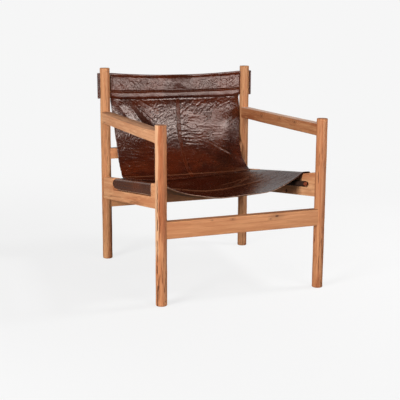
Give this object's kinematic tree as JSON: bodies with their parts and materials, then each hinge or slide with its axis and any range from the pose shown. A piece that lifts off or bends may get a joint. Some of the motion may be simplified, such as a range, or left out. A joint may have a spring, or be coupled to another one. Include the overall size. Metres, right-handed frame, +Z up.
{
  "type": "leather sling lounge chair",
  "caption": "Low lounge chair with a round-legged wooden frame, level armrests and a leather sling that laces through slots in the side rails and the rear posts over hidden dowels.",
  "frame": {"origin": "On the floor, midway between the four legs", "axes": "+Z up, +Y towards the back of the chair, +X to the right as seen from the front"},
  "size_m": [0.6518, 0.688, 0.756],
  "materials": {
    "frame_wood": "open-grained tan hardwood, oiled, with small knots and drying cracks",
    "dowel_wood": "plain darker hardwood rod and plug, oiled",
    "sling_leather": "thick waxed dark brown hide, glossy, creased and crinkled, with paler cut edges"
  },
  "bodies": {
    "root": {"front_left_leg": "frame_wood", "rear_left_post": "frame_wood", "left_side_rail": "frame_wood", "left_armrest": "frame_wood", "left_rail_plug": "dowel_wood", "left_seat_dowel": "dowel_wood", "left_back_dowel": "dowel_wood", "front_right_leg": "frame_wood", "rear_right_post": "frame_wood", "right_side_rail": "frame_wood", "right_armrest": "frame_wood", "right_rail_plug": "dowel_wood", "right_seat_dowel": "dowel_wood", "right_back_dowel": "dowel_wood", "front_stretcher": "frame_wood", "rear_lower_rail": "frame_wood", "rear_upper_rail": "frame_wood", "seat_sling": "sling_leather", "back_left_half": "sling_leather", "back_right_half": "sling_leather", "back_seam_strip": "sling_leather", "back_band": "sling_leather"}
  },
  "joints": []
}
